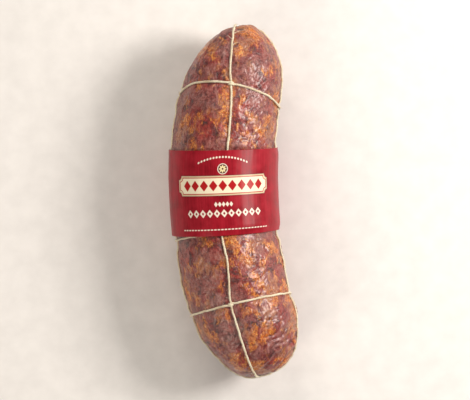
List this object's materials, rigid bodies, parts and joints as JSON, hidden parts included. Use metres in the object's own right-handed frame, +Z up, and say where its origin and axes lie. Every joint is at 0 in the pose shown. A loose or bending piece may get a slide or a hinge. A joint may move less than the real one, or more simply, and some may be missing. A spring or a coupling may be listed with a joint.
{
  "type": "cured sausage",
  "caption": "Whole dry-cured sausage lying on its side, gently bowed and round-ended, netted with cotton twine and banded around its middle with a printed paper label.",
  "frame": {"origin": "on the surface that the sausage lies on, under the middle of its box", "axes": "+Y runs along the sausage from its foot end to its head end, +X points to the side that the foot end swings out to, and +Z is up, out of the face that shows the front of the label"},
  "size_m": [0.1206, 0.3292, 0.0967],
  "materials": {
    "casing": "satin",
    "twine": "matte",
    "label_paper": "satin"
  },
  "bodies": {
    "root": {"salame_body": "casing", "label_band": "label_paper", "long_tie_front_back": "twine", "long_tie_left_right": "twine", "ring_tie_1": "twine", "ring_tie_2": "twine", "ring_tie_3": "twine", "ring_tie_4": "twine"}
  },
  "joints": []
}
